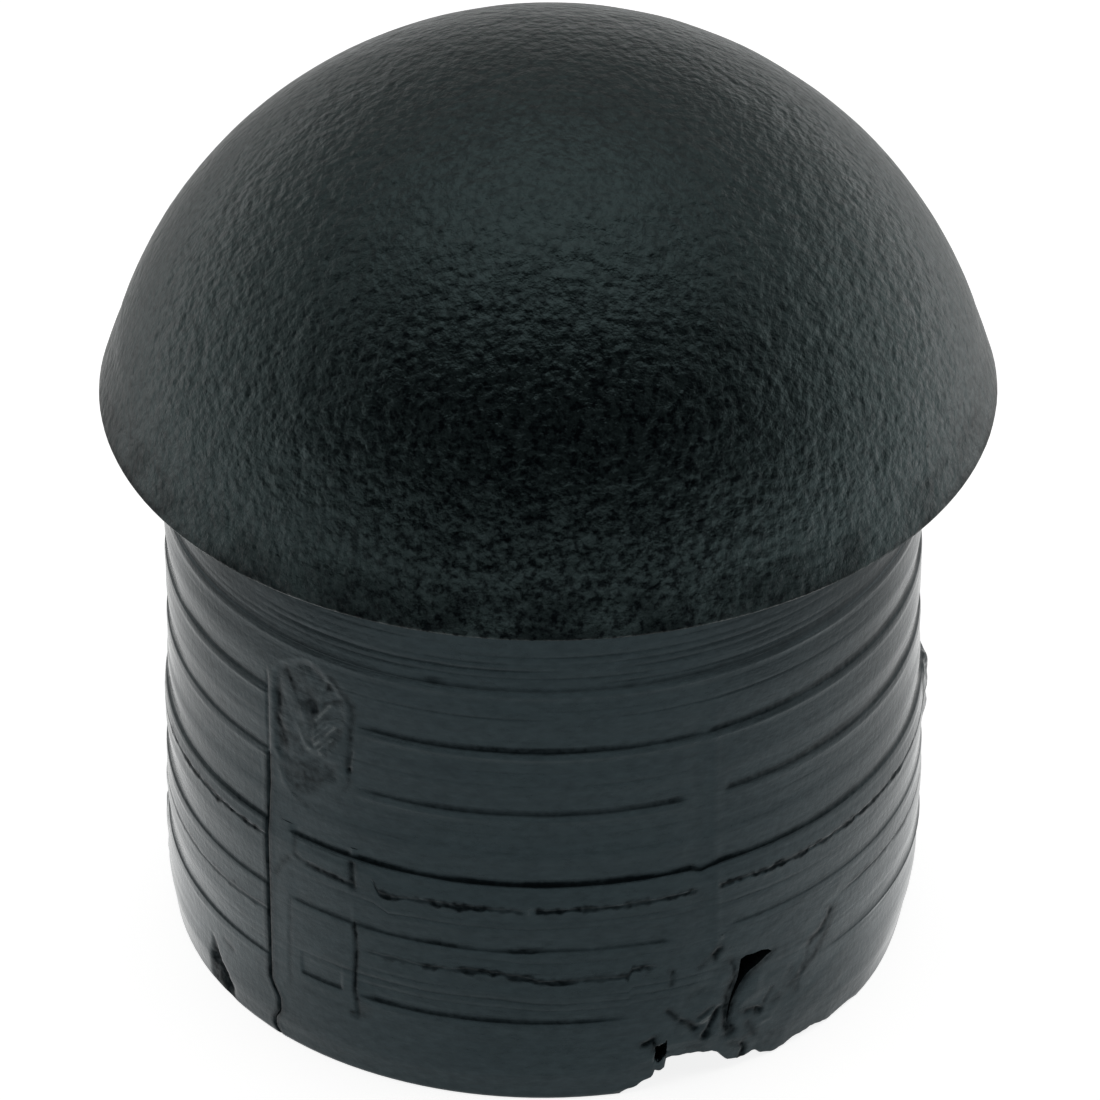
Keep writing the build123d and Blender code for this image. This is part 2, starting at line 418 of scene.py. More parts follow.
for name, level in TEARS.items():
    d = S - level
    force = through(STRENGTH[name], A)
    blot = 0.55 + 0.5 * ring_noise(0.5, 60 + ord(name)) + 0.35 * ring_noise(0.2, 66 + ord(name))
    width = 0.072 * np.clip(blot, 0.2, 1.2) * (0.4 + 0.6 * force)
    under = -width * (0.9 + 0.6 * ring_noise(0.3, 72 + ord(name)))
    torn_out = smooth(d, under - 0.03, under + 0.01) * (1 - smooth(d, width, width + 0.035))
    R -= (0.022 + 0.01 * side) * np.clip(force, 0, 1.2) * torn_out
    # darkened in a patchy band round the torn line: lost gloss and painted shade in the tear
    ragged_height = d + 0.07 * skin_noise(0.15, 260 + ord(name)) + 0.05 * skin_noise(0.4, 270 + ord(name))
    wide = (2.1 if name == "G" else 1.6) * width + 0.06
    spread = smooth(ragged_height, 1.4 * under - 0.08, under) * (1 - smooth(ragged_height, 0.5 * wide, wide + 0.06))
    patchy = np.clip(0.72 + 0.5 * blot + 0.45 * skin_noise(0.16, 280 + ord(name)), 0, 1)
    lay(matt_and_shade, np.clip(1.15 * force, 0, 1) * patchy * spread * (1 - 0.3 * side))
    raised = np.clip(ring_noise(0.35, 78 + ord(name)), 0, 1)
    R += 0.016 * np.minimum(force, 1) * raised * bell(d + 0.12, 0.05)
fine_fade = 1 - 0.75 * smooth(np.abs(A), 25, 62)
for k, (level, depth) in enumerate(FINE):
    along = fine_fade * np.clip(0.45 + 0.9 * ring_noise(2.4, 100 + k) + 0.3 * ring_noise(0.6, 130 + k), 0, 1.3)
    R -= depth * along * bell(S - level, 0.024)
    R += 0.35 * depth * along * bell(S - level + 0.06, 0.035)
    # painted shade along each fine groove
    lay(matt_and_shade, 42 * depth * along * bell(S - level, 0.034))

# slight unevenness
R += 0.007 * skin_noise(2.5, 4) + 0.003 * noise(X0 * 0.05, Y0 * 0.05, H, 0.35, 3)

# burrs that stand out at the sides
for k, (where, level, half_width, half_height, out) in enumerate(BURRS):
    ragged = H + 0.12 * skin_noise(0.4, 290 + k)
    tall_enough = 1 - smooth(np.abs(ragged - level), 0.8 * half_height, half_height)
    uneven = np.clip(0.9 + 0.5 * skin_noise(0.4, 300 + k), 0.4, 1.2)
    R += out * uneven * tall_enough * bell(A - where, half_width)
    if out > 0.1:
        lay(matt_and_shade, 0.7 * tall_enough * bell(A - where + 1.4 * half_width, 1.2))

# weld line, a slightly raised strip at 26 degrees with a hollow beside it
weld = smooth(H, 4.2, 4.8) * (1 - smooth(H, 13.6, 14.0))
half = np.interp(H, [4.5, 13.5], [1.5, 0.9])
R += 0.018 * weld * bell(A - 26.2, 0.55)
R -= 0.020 * weld * bell(A - 23.4, 1.6 * half)

# split line, with painted shade in it and along its left side
split_deep = smooth(H, -0.1, 0.1) * (1 - smooth(H, 9.7, 9.95))
R -= 0.07 * split_deep * (1 - smooth(split_distance, 0.0, 0.3))
R += 0.008 * split_deep * bell(split_distance - 1.0, 0.4)
lay(matt_and_shade, 0.92 * split_deep * bell(split_distance, 0.8) * np.clip(1 + 0.25 * skin_noise(0.3, 8), 0, 1.1))
lay(matt_and_shade, 0.35 * split_deep * bell(T + 46.0, 0.7) * np.clip(0.5 + skin_noise(1.5, 9), 0, 1))
upper_split = smooth(H, 9.8, 10.0) * (1 - smooth(H, 12.3, 12.9))
R -= 0.03 * upper_split * (1 - smooth(split_distance, 0.0, 0.45))
lay(matt_and_shade, 0.4 * upper_split * bell(split_distance, 0.4))

# gate scar: torn hollow inside a ragged lip, with streaks that fan up from its point
SCAR = [
    (-44.7, 10.1), (-44.8, 11.0), (-44.7, 12.1), (-44.3, 12.75), (-43.2, 13.15), (-40.6, 13.46), (-38.3, 13.70),
    (-36.8, 13.74), (-35.6, 13.70), (-33.9, 13.40), (-31.6, 13.13), (-30.3, 12.78), (-30.0, 12.12), (-30.5, 11.6),
    (-32.4, 10.94), (-34.2, 10.35), (-36.5, 10.10), (-40.4, 9.90), (-43.0, 9.7),
]
edge_noise = 0.8 * skin_noise(0.4, 84) + 0.5 * skin_noise(0.18, 85)
scar_in = soft_inside(A + 0.35 * edge_noise, H + 0.05 * edge_noise, SCAR, 0.3)
wall = (A + 36.9) * DEGREE
rise = H - 10.55
right_arm = smooth(wall - 0.22 * rise, -0.05, 0.08)
fan_left = noise(wall * 0.93 + rise * 0.37, 0.12 * rise, 0 * wall, 0.13, 81)
fan_right = noise(wall * 0.50 - rise * 0.86, 0.12 * wall, 0 * wall, 0.13, 82)
fan = fan_left * (1 - right_arm) + fan_right * right_arm
near_point = 1 - smooth(np.hypot(wall, rise), 1.4, 2.1)
above_point = smooth(rise - 0.35 * np.abs(wall), -0.05, 0.12)
hollow = near_path(A, H, [(-43.4, 12.25), (-43.2, 11.6), (-43.0, 11.1), (-42.6, 10.45)])
slot = bell(hollow, 0.17) * (0.75 + 0.5 * skin_noise(0.3, 83))
middle = soft_inside(A, H, [(-38.8, 12.25), (-36.6, 12.5), (-34.9, 12.45), (-36.8, 10.8)], 0.15)
R -= scar_in * (0.032 + 0.012 * skin_noise(0.6, 87))
R -= scar_in * (0.025 * slot + 0.006 * middle)
R += scar_in * fan * above_point * (0.006 + 0.010 * near_point) * (1 - 0.7 * middle)
R += 0.003 * scar_in * skin_noise(0.15, 88)
speckle = skin_noise(0.14, 88) + 0.6 * skin_noise(0.4, 90)
# the scar is dulled in speckles, with painted shade in its slot, in its middle and in the fan's grooves
scar_dull_and_shade = 0.22 + 0.30 * speckle + 0.75 * slot + 0.32 * middle + 0.9 * above_point * np.clip(-fan, 0, 1)
lay(matt_and_shade, scar_in * np.clip(scar_dull_and_shade, 0, 1))
streak = np.zeros_like(A)
for path, size, amount in (
    ([(-36.0, 11.72), (-34.6, 12.08), (-33.2, 12.42)], 0.06, 1.0),
    ([(-36.6, 11.05), (-34.6, 11.5), (-33.4, 11.75)], 0.035, 0.8),
    ([(-36.4, 11.30), (-34.4, 11.78), (-31.6, 12.05)], 0.035, 0.6),
    ([(-36.3, 10.84), (-34.2, 11.32), (-32.3, 11.78)], 0.055, 1.0),
    ([(-35.9, 10.66), (-34.4, 11.00), (-33.0, 11.28)], 0.035, 0.9),
    ([(-39.8, 11.35), (-38.9, 11.0), (-38.2, 10.74)], 0.035, 0.8),
    ([(-41.5, 12.05), (-40.8, 11.75), (-40.1, 11.40)], 0.03, 0.6),
    ([(-39.0, 12.0), (-38.2, 11.5), (-37.5, 11.0)], 0.025, 0.5),
    ([(-37.6, 10.62), (-36.4, 10.56), (-35.3, 10.60)], 0.10, 0.8),
    ([(-35.2, 12.50), (-34.6, 12.9), (-34.0, 13.22)], 0.06, 0.6),
    ([(-42.6, 10.2), (-41.0, 10.3), (-39.6, 10.2)], 0.05, 0.2),
):
    lay(streak, amount * bell(near_path(A, H, path), 1.35 * size))
R += 0.010 * streak
lay(torn_and_highlight, np.minimum(0.92, 1.35 * streak) * np.clip(1.0 + 0.4 * speckle, 0.4, 1))
fan_pale = 0.06 + (0.45 + 0.5 * right_arm) * np.clip(fan, 0, 1)
lay(torn_and_highlight, scar_in * above_point * fan_pale * (1 - slot) * (1 - 0.6 * middle))
# painted highlight: the scar's ragged raised lip is painted pale
lip_line = near_path(A + 0.35 * edge_noise, H + 0.05 * edge_noise, SCAR[:13])
lip_ragged = np.interp(A, [-37, -35], [1.35, 0.6]) * np.clip(0.55 + 0.7 * skin_noise(0.3, 89), 0, 1.3)
R += 0.003 * bell(lip_line, 0.08) * lip_ragged
lay(torn_and_highlight, 0.32 * bell(lip_line, 0.11) * lip_ragged * np.clip(0.8 + 0.6 * speckle, 0, 1))
lay(torn_and_highlight, 0.22 * scar_in * bell(lip_line, 0.30) * np.clip(0.5 + speckle, 0, 1))
strip = near_path(A, H, [(-44.35, 12.4), (-44.3, 11.2), (-44.2, 10.2)])
R += 0.008 * bell(strip, 0.06)
lay(torn_and_highlight, 0.28 * bell(strip, 0.06) * np.clip(0.6 + speckle, 0, 1.2))
# painted shadow: a dark line just outside the scar's upper right edge
DARK_SIDE = [(-33.2, 13.42), (-31.0, 13.0), (-29.5, 12.7), (-29.4, 12.4), (-29.7, 11.9), (-29.8, 11.2), (-30.2, 10.6)]
dark_side = near_path(A, H, DARK_SIDE)
R -= 0.010 * bell(dark_side, 0.12)
lay(matt_and_shade, 0.72 * bell(dark_side, 0.13) * np.clip(0.75 + 0.5 * speckle, 0, 1))
tick = near_path(A, H, [(-29.6, 11.1), (-29.9, 10.75), (-30.15, 10.46)])
tick_foot = near_path(A, H, [(-30.15, 10.46), (-30.2, 10.42)])
R -= 0.02 * bell(tick, 0.05) + 0.04 * bell(tick_foot, 0.08)
lay(matt_and_shade, np.maximum(0.7 * bell(tick, 0.055), bell(tick_foot, 0.09)))
lay(matt_and_shade, 0.35 * bell(near_path(A, H, [(-30.3, 10.3), (-30.1, 9.95), (-31.0, 9.7)]), 0.08))
# a smear hangs from the scar
TONGUE = [
    (-44.0, 9.55), (-42.2, 9.05), (-39.9, 8.8), (-37.0, 8.95), (-35.0, 9.35), (-31.5, 9.9), (-31.8, 10.6),
    (-36, 10.5), (-42, 10.2),
]
tongue = soft_inside(A + 0.3 * edge_noise, H + 0.05 * edge_noise, TONGUE, 0.35)
R -= 0.02 * tongue * (1 + 0.6 * skin_noise(0.5, 86))
lay(matt_and_shade, 0.50 * tongue * np.clip(0.9 + 0.7 * speckle, 0, 1.5))
# painted highlight along the smear's raised lower lip
TONGUE_LIP = [(-43.6, 9.6), (-42.2, 9.05), (-40.6, 8.75), (-38.6, 8.8)]
tongue_lip = near_path(A + 0.4 * edge_noise, H + 0.06 * edge_noise, TONGUE_LIP)
R += 0.008 * bell(tongue_lip, 0.07)
lay(torn_and_highlight, 0.22 * bell(tongue_lip, 0.08) * lip_ragged)

# panel frames, left blank inside, as (line, depth, width, how dark: lost gloss and painted shade in the groove)
uneven_line = np.clip(0.95 + 0.35 * speckle, 0, 1.2)
for path, depth, width, dull_and_shade in (
    ([(-41.0, 5.17), (-41.3, 3.6), (-41.35, 2.18)], 0.015, 0.06, 0.25),
    (
        [(-29.3, 5.25), (-29.1, 4.6), (-28.95, 4.2), (-29.2, 3.5), (-29.4, 3.0), (-29.1, 2.6), (-28.85, 2.05)],
        0.05, 0.06, 0.75,
    ),
    ([(-28.9, 2.3), (-29.0, 2.02), (-29.9, 2.05)], 0.04, 0.07, 0.6),
    ([(-41.3, 2.14), (-38.3, 2.17), (-31.8, 2.15)], 0.006, 0.05, 0.15),
    ([(-39.6, 6.85), (-38.6, 6.78), (-37.4, 6.71)], 0.02, 0.06, 0.45),
    ([(-37.4, 6.71), (-34.8, 6.67), (-32.1, 6.63), (-29.4, 6.58)], 0.05, 0.07, 0.8),
    ([(-29.5, 7.3), (-29.45, 6.9), (-29.4, 6.58)], 0.07, 0.09, 0.85),
    ([(-39.9, 7.45), (-39.9, 6.85)], 0.012, 0.06, 0.3),
    ([(-41.0, 6.6), (-42.4, 6.35), (-43.9, 5.8)], 0.015, 0.07, 0.35),
    ([(-41.3, 9.0), (-39.6, 8.75), (-36.6, 8.6)], 0.008, 0.06, 0.2),
):
    distance = near_path(A + 0.12 * edge_noise, H + 0.02 * edge_noise, path)
    R -= 0.45 * depth * bell(distance, width)
    lay(matt_and_shade, np.minimum(1, 1.3 * dull_and_shade) * bell(distance, 1.5 * width) * uneven_line)
R += 0.008 * bell(near_path(A, H, [(-41.3, 2.02), (-38.3, 2.05), (-31.8, 2.03)]), 0.05)

# torn wall round the hole
DAMAGE = [(16, 0), (17.5, 2.4), (21, 3.4), (25, 4.6), (29, 4.8), (38, 4.3), (43, 2.9), (41, 1.4), (38, 0)]
damage = soft_inside(A, H, DAMAGE, 0.6)
rough = 0.5 * skin_noise(0.6, 91) + 0.3 * skin_noise(0.25, 92) + 0.12 * skin_noise(0.12, 93)
R += damage * (0.018 * rough - 0.012)
jag = 0.6 * skin_noise(0.3, 95) + 0.4 * skin_noise(0.14, 96)
swell = np.clip(1.05 + 0.9 * skin_noise(0.34, 99), 0.5, 1.6)
# folds, scratches and pits, as (line, depth, width), each dented and darkened: lost gloss and painted shade in the dent
for path, depth, width in (
    ([(26.8, 2.41), (26.1, 2.19), (25.3, 1.88), (24.4, 1.52)], 0.15, 0.065),
    ([(24.7, 1.62), (24.4, 1.50)], 0.12, 0.09),
    ([(26.8, 2.41), (25.7, 2.49), (25.1, 2.43), (23.6, 2.24)], 0.05, 0.05),
    ([(18.6, 2.73), (19.4, 2.57), (20.7, 2.29)], 0.07, 0.06),
    ([(20.7, 2.29), (21.7, 2.12), (22.7, 1.89)], 0.15, 0.075),
    ([(35.8, 2.45), (35.5, 2.27), (34.9, 2.05)], 0.07, 0.055),
    ([(37.5, 1.98), (36.5, 1.94)], 0.02, 0.08),
    ([(31.6, 1.92), (32.5, 1.94), (33.4, 1.84), (34.0, 1.79)], 0.07, 0.06),
    ([(33.2, 1.86), (33.8, 1.80)], 0.12, 0.08),
    ([(31.6, 1.50), (32.4, 1.20), (32.8, 1.01)], 0.04, 0.08),
    ([(31.0, 0.79), (31.2, 0.56), (30.8, 0.30)], 0.12, 0.07),
    ([(29.2, 1.0), (30.2, 0.85), (31.0, 0.9)], 0.03, 0.09),
    ([(41.4, 2.45), (42.1, 2.48), (40.8, 2.22), (40.3, 2.20)], 0.02, 0.06),
    ([(40.6, 1.9), (41.4, 2.35), (43.0, 3.0)], 0.02, 0.06),
    ([(18.5, 4.16), (19.2, 4.12)], 0.05, 0.045),
    ([(19.1, 4.08), (19.2, 3.87), (19.2, 3.66)], 0.09, 0.05),
    ([(28.8, 3.87), (29.1, 3.67), (29.5, 3.34)], 0.05, 0.05),
    ([(47.9, 4.05), (47.0, 3.75), (45.6, 3.55), (43.7, 3.40)], 0.06, 0.09),
    ([(26.6, 4.49), (25.9, 4.33)], 0.12, 0.08),
    ([(25.9, 4.33), (26.0, 4.16)], 0.08, 0.06),
    ([(24.8, 4.2), (23.8, 4.05)], 0.02, 0.06),
    ([(14.5, 1.71), (15.4, 1.72), (16.3, 1.83), (16.5, 1.50)], 0.12, 0.06),
):
    distance = near_path(A + 0.4 * jag, H + 0.06 * rough, path)
    R -= 0.3 * depth * swell * bell(distance, width)
    dulled_and_shaded = min(1, 0.35 + 7 * depth) * np.minimum(1, 1.15 * swell)
    lay(matt_and_shade, dulled_and_shaded * bell(distance, (1.1 + 0.65 * swell) * width))
# a flap stands up beside the hole, and the wall beyond it sinks
FLAP = [(29.4, 1.2), (29.5, 2.3), (31.4, 3.0), (34.6, 3.4), (35.4, 2.5), (33.6, 2.1), (31.4, 2.1)]
HOLE_EDGE = [(36.2, 3.68), (34.4, 3.50), (32.1, 3.27), (30.7, 3.00), (29.6, 2.70)]
lay(matt_and_shade, 0.70 * bell(near_path(A + 0.2 * jag, H, HOLE_EDGE), 0.14))
flap = soft_inside(A, H, FLAP, 0.4)
R += 0.025 * flap
# painted shade: a dark strip down the left of the slit, where the wall sinks
SHOULDER = [(30.4, 3.24), (29.4, 2.93), (28.7, 2.62), (28.1, 2.23), (28.2, 1.81), (28.5, 1.43)]
shoulder_width = through([(1.4, 0.19), (1.8, 0.15), (2.3, 0.22), (3.0, 0.26)], H)
shoulder = bell(near_path(A + 0.3 * jag, H, SHOULDER), shoulder_width)
R -= 0.05 * shoulder
lay(matt_and_shade, np.minimum(1, 1.4 * shoulder) * np.clip(0.95 + 0.3 * rough, 0, 1))
# the torn wall is painted darker in its dents and paler on its bumps: painted shade and painted highlight
lay(matt_and_shade, 0.32 * damage * smooth(-rough, 0.0, 0.4))
lay(torn_and_highlight, 0.12 * flap)
lay(torn_and_highlight, damage * smooth(rough, 0.1, 0.5) * 0.25)
FLECK = [(22.9, 2.10), (25.0, 2.32), (25.7, 2.24), (24.9, 2.05), (24.2, 1.98), (23.3, 2.02)]
fleck = soft_inside(A + 0.2 * jag, H, FLECK, 0.06)
R += 0.03 * fleck
lay(torn_and_highlight, 0.9 * fleck)
# raised pale crumbs, as (line, size, amount)
for path, size, amount in (
    ([(34.0, 1.36), (35.8, 1.38)], 0.05, 0.5),
    ([(26.5, 1.55), (28.0, 1.35)], 0.07, 0.25),
    ([(27.0, 4.85), (27.1, 5.0)], 0.04, 0.8),
    ([(-26.6, 8.36), (-26.5, 8.30)], 0.035, 0.9),
    ([(10.3, 9.37), (10.5, 9.37)], 0.03, 0.9),
    ([(-2.0, 6.8), (-2.4, 6.72), (-2.3, 6.6)], 0.035, 0.6),
):
    raised = bell(near_path(A, H, path), size)
    R += 0.03 * amount * raised
    lay(torn_and_highlight, amount * raised)
pocket = soft_inside(A, H, [(16.6, 1.53), (18.3, 1.64), (18.5, 1.23), (17.0, 0.93), (16.5, 1.09)], 0.08)
R -= 0.55 * pocket

# smears that run up the right side
smear = smooth(A, 30, 38) * (1 - smooth(A, 62, 74)) * (1 - smooth(H, 5.2, 6.2))
flow = (A - 45) * DEGREE
streaks = noise(0.25 * flow - 0.15 * H, H - 0.42 * flow, 0 * flow, 0.33, 94)
R += 0.006 * smear * streaks
lay(matt_and_shade, 0.22 * smear * np.clip(streaks, 0, 1))
wedge = soft_inside(A, H, [(43.2, 3.3), (45.5, 3.75), (47.8, 4.15), (49.5, 4.2), (47.2, 3.6), (45.4, 3.35)], 0.12)
lay(matt_and_shade, 0.85 * wedge)
trail = near_path(A, H, [(49.0, 4.1), (47.2, 3.4), (44.6, 2.85), (42.8, 2.6), (39.7, 2.16)])
lay(matt_and_shade, 0.65 * bell(trail, 0.15) * np.clip(0.8 + 0.8 * streaks, 0, 1))
# the lowest band is pressed in on the right
pressed = smooth(A, 52, 78) * (1 - smooth(A, 125, 155)) * (1 - smooth(S, 2.66, 2.72))
R -= pressed * (0.09 + 0.14 * (1 - smooth(S, 0.3, 1.7)))

# corner nick on the lower left, its hollow painted dark: painted shadow in the nick
NICK = [
    (-60.9, 1.98), (-61.6, 1.07), (-62.6, 0.31), (-62.6, -0.4), (-54.0, -0.4), (-54.3, 0.12), (-55.2, 0.50),
    (-55.5, 0.92), (-57.5, 1.15), (-59.3, 1.62),
]
nick = soft_inside(A + 0.4 * edge_noise, H + 0.05 * edge_noise, NICK, 0.3)
core = near_path(A, H, [(-60.0, 1.00), (-58.0, 0.66), (-56.4, 0.38)])
R -= 0.07 * nick * smooth(H, -0.1, 0.5) + 0.10 * bell(core, 0.22)
lay(matt_and_shade, np.clip(0.8 * np.sqrt(nick) + 0.45 * bell(core, 0.38), 0, 1))
smudge = bell(near_path(A, H, [(-57.0, 2.0), (-55.8, 1.98), (-54.6, 1.92)]), 0.10)
R -= 0.01 * smudge
lay(matt_and_shade, 0.45 * smudge)

# rounding of the foot's outer edge and of the neck's root
R -= 0.05 * (S < 0.001)
R += 0.12 * smooth(S, RIM_HEIGHT - 0.2, RIM_HEIGHT + 0.02) * (S > RIM_HEIGHT - 0.13)

# ---------------------------------------------------------------- every corner's place
turn = np.radians(azimuth)
profile = np.array(inner_profile + [(0.0, 0.0)] * len(rows) + head_profile)
r, z = profile[sheet_row, 0], profile[sheet_row, 1].copy()
broken = foot_at(azimuth)
low = (sheet_row < inner_count) & (z < FOOT_BLEND)
raised = broken * (1 - 0.075 * (10.4 - r)) + z * (1 - broken / FOOT_BLEND)
bx, by = r * np.sin(turn), -r * np.cos(turn)
raised += np.where((z < 0.01) & (broken > 0.02), 0.05 * noise(bx, by, 0 * bx, 0.5, 98), 0)
z = np.where(low, np.clip(raised, 0, None), z)
shift = np.where(sheet_row < wall_end, HEAD_SHIFT, 0)
vertices = np.stack([bx - shift, by, z], -1)
angles = np.radians(A)
vertices[is_wall] = np.stack([R * np.sin(angles) - HEAD_SHIFT, -R * np.cos(angles), H], -1)

# the head's outside is faintly uneven, and never past its true size
on_head = (sheet_row >= wall_end) & (z > RIM_HEIGHT + 0.01)
hub = np.array([0, 0, centre])
skin = vertices[on_head]
outward = (skin - hub) / np.linalg.norm(skin - hub, axis=-1, keepdims=True)
wave = 0.008 * noise(*skin.T, 2.6, 31) + 0.010 * noise(*skin.T, 1.1, 32) - 0.018
crease = 0.5 + 0.5 * noise(*skin.T, 3.0, 33)
wave -= 0.040 * crease * bell(skin[:, 2] - skirt_h, 0.32)
vertices[on_head] = skin + outward * wave[:, None]

marks, dull_and_shade_values = np.zeros(len(vertices)), np.zeros(len(vertices))
marks[is_wall] = torn_and_highlight
dull_and_shade_values[is_wall] = matt_and_shade * (1 - torn_and_highlight)
# painted shade: the rim's edge and the skirt lose gloss in ragged patches, which darkens their highlight
rim_patches = smooth(noise(*skin.T, 0.5, 34) + 0.6 * noise(*skin.T, 1.6, 35), -0.7, 0.7)
by_rim = 1 - smooth(skin[:, 2], RIM_HEIGHT + 0.10, RIM_HEIGHT + 0.45)
on_skirt = 1 - smooth(skin[:, 2], skirt_h - 0.5, skirt_h + 0.1)
dull_and_shade_values[on_head] = np.maximum((0.35 + 0.6 * rim_patches) * by_rim, 0.62 * rim_patches * on_skirt)
marks[low & (broken > 0.02) & (z < 1.6)] = 0.3
roof_pole, crown_pole = len(vertices), len(vertices) + 1
vertices = np.vstack([vertices, [-HEAD_SHIFT, 0, BORE_DEPTH], [0, 0, centre + sphere - 0.018]])

# ---------------------------------------------------------------- the mesh
around = COUNT * ACROSS
at = number.tolist()
faces = []
for r0, r1, c0, c1 in cells:
    loop = [at[r0][c] for c in range(c0, c1)] + [at[k][c1 % around] for k in range(r0, r1)]
    loop += [at[r1][c % around] for c in range(c1, c0, -1)] + [at[k][c0] for k in range(r1, r0, -1)]
    faces.append([v for v in loop if v >= 0])
kind = [int(cell[0] >= (wall_end - 1) * UP) for cell in cells]
first, last = at[0][::ACROSS], at[-1][::ACROSS]
faces += [(roof_pole, b, a) for a, b in zip(first, first[1:] + first[:1])]
faces += [(crown_pole, a, b) for a, b in zip(last, last[1:] + last[:1])]
kind += [0] * COUNT + [1] * COUNT

mesh = bpy.data.meshes.new("end_cap_rubber")
mesh.from_pydata((vertices * MM).tolist(), [], faces)
mesh.update()
for label, values in (("torn_and_highlight", marks), ("matt_and_shade", dull_and_shade_values)):
    attribute = mesh.attributes.new(label, "FLOAT", "POINT")
    attribute.data.foreach_set("value", np.append(values, [0, 0]).astype(np.float32))
cap = bpy.data.objects.new("end_cap_rubber", mesh)
bpy.context.scene.collection.objects.link(cap)


# ---------------------------------------------------------------- hole and slit, cut through the wall
def prism(name, azimuth, outline, inner_radius, outer_radius):
    """A cutter along the wall's normal at `azimuth`; outline is (azimuth, height) points."""
    facing = math.radians(azimuth)
    out = np.array([math.sin(facing), -math.cos(facing), 0])
    along = np.array([math.cos(facing), math.sin(facing), 0])
    ring = []
    for a, h in outline:
        offset = math.sin(math.radians(a - azimuth)) * WALL_RADIUS
        ring.append(along * offset + np.array([-HEAD_SHIFT, 0, h]))
    n = len(ring)
    points = [p + out * inner_radius for p in ring] + [p + out * outer_radius for p in ring]
    sides = [(i, (i + 1) % n, n + (i + 1) % n, n + i) for i in range(n)]
    ends = [tuple(range(n))[::-1], tuple(range(n, 2 * n))]
    cutter_mesh = bpy.data.meshes.new(name)
    cutter_mesh.from_pydata((np.array(points) * MM).tolist(), [], sides + ends)
    shell = bmesh.new()
    shell.from_mesh(cutter_mesh)
    bmesh.ops.recalc_face_normals(shell, faces=shell.faces)
    shell.to_mesh(cutter_mesh)
    shell.free()
    cutter = bpy.data.objects.new(name, cutter_mesh)
    bpy.context.scene.collection.objects.link(cutter)
    return cutter


hole = [
    (30.2, 3.62), (30.4, 3.86), (31.3, 3.93), (32.6, 3.90), (34.0, 3.92), (35.3, 3.84), (36.0, 3.72), (35.1, 3.66),
    (34.4, 3.58), (33.3, 3.46), (32.1, 3.35), (31.3, 3.20), (30.4, 2.98), (29.5, 2.72), (28.8, 2.38), (28.4, 2.0),
    (28.3, 1.75), (28.2, 1.75), (28.2, 2.0), (28.5, 2.40), (29.0, 2.74), (29.6, 3.0), (30.1, 3.24), (30.15, 3.42),
]
cutter = prism("hole_cutter", azimuth=33, outline=hole, inner_radius=8.0, outer_radius=12.0)
modifier = cap.modifiers.new("hole", "BOOLEAN")
modifier.object = cutter
modifier.operation = "DIFFERENCE"
modifier.solver = "EXACT"

polygons = mesh.polygons
polygons.foreach_set("material_index", np.array(kind, np.int32))
polygons.foreach_set("use_smooth", np.ones(len(faces), bool))


# ---------------------------------------------------------------- materials
RUBBER_IOR = 1.44


class Graph:
    """A cleared node tree, with a short call for each kind of node used here."""

    def __init__(self, owner, output):
        owner.use_nodes = True
        self.nodes, self.links = owner.node_tree.nodes, owner.node_tree.links
        self.nodes.clear()
        self.output = self.nodes.new(output)

    def feed(self, node, inputs):
        """Link each input to a socket or give it a value."""
        for key, value in inputs.items():
            if isinstance(value, bpy.types.NodeSocket):
                self.links.new(value, node.inputs[key])
            else:
                node.inputs[key].default_value = value
        return node

    def node(self, kind, inputs=None):
        return self.feed(self.nodes.new(kind), inputs or {})

    def show(self, shader):
        self.links.new(shader.outputs[0], self.output.inputs["Surface"])

    def math(self, operation, a, b=0.0):
        node = self.nodes.new("ShaderNodeMath")
        node.operation = operation
        return self.feed(node, {0: a, 1: b}).outputs[0]

    def add(self, total, *values):
        for value in values:
            total = self.math("ADD", total, value)
        return total

    def times(self, a, b):
        return self.math("MULTIPLY", a, b)

    def ramp(self, value, low, high, to_low, to_high):
        inputs = {"Value": value, "From Min": low, "From Max": high, "To Min": to_low, "To Max": to_high}
        return self.node("ShaderNodeMapRange", inputs).outputs["Result"]

    def noise(self, vector, scale, detail, roughness):
        inputs = {"Vector": vector, "Scale": scale, "Detail": detail, "Roughness": roughness}
        return self.node("ShaderNodeTexNoise", inputs).outputs["Fac"]

    def stretch(self, vector, scale):
        return self.node("ShaderNodeMapping", {"Vector": vector, "Scale": scale}).outputs["Vector"]

    def split(self, vector):
        return list(self.node("ShaderNodeSeparateXYZ", {0: vector}).outputs)

    def attribute(self, name):
        node = self.nodes.new("ShaderNodeAttribute")
        node.attribute_name = name
        return node.outputs["Fac"]

    def pebbles(self, vector, scale, smoothness):
        node = self.nodes.new("ShaderNodeTexVoronoi")
        node.feature = "SMOOTH_F1"
        inputs = {"Vector": vector, "Scale": scale, "Smoothness": smoothness, "Randomness": 1.0}
        return self.feed(node, inputs).outputs["Distance"]

    def mix(self, factor, a, b):
        """Colour a where the factor is 0, colour b where it is 1."""
        node = self.nodes.new("ShaderNodeMix")
        node.data_type = "RGBA"
        a, b = ((*colour, 1) if isinstance(colour, tuple) else colour for colour in (a, b))
        return self.feed(node, {"Factor": factor, 6: a, 7: b}).outputs[2]


def rubber(name):
    material = bpy.data.materials.new(name)
    graph = Graph(material, "ShaderNodeOutputMaterial")
    return material, graph, graph.node("ShaderNodeTexCoord").outputs["Object"]


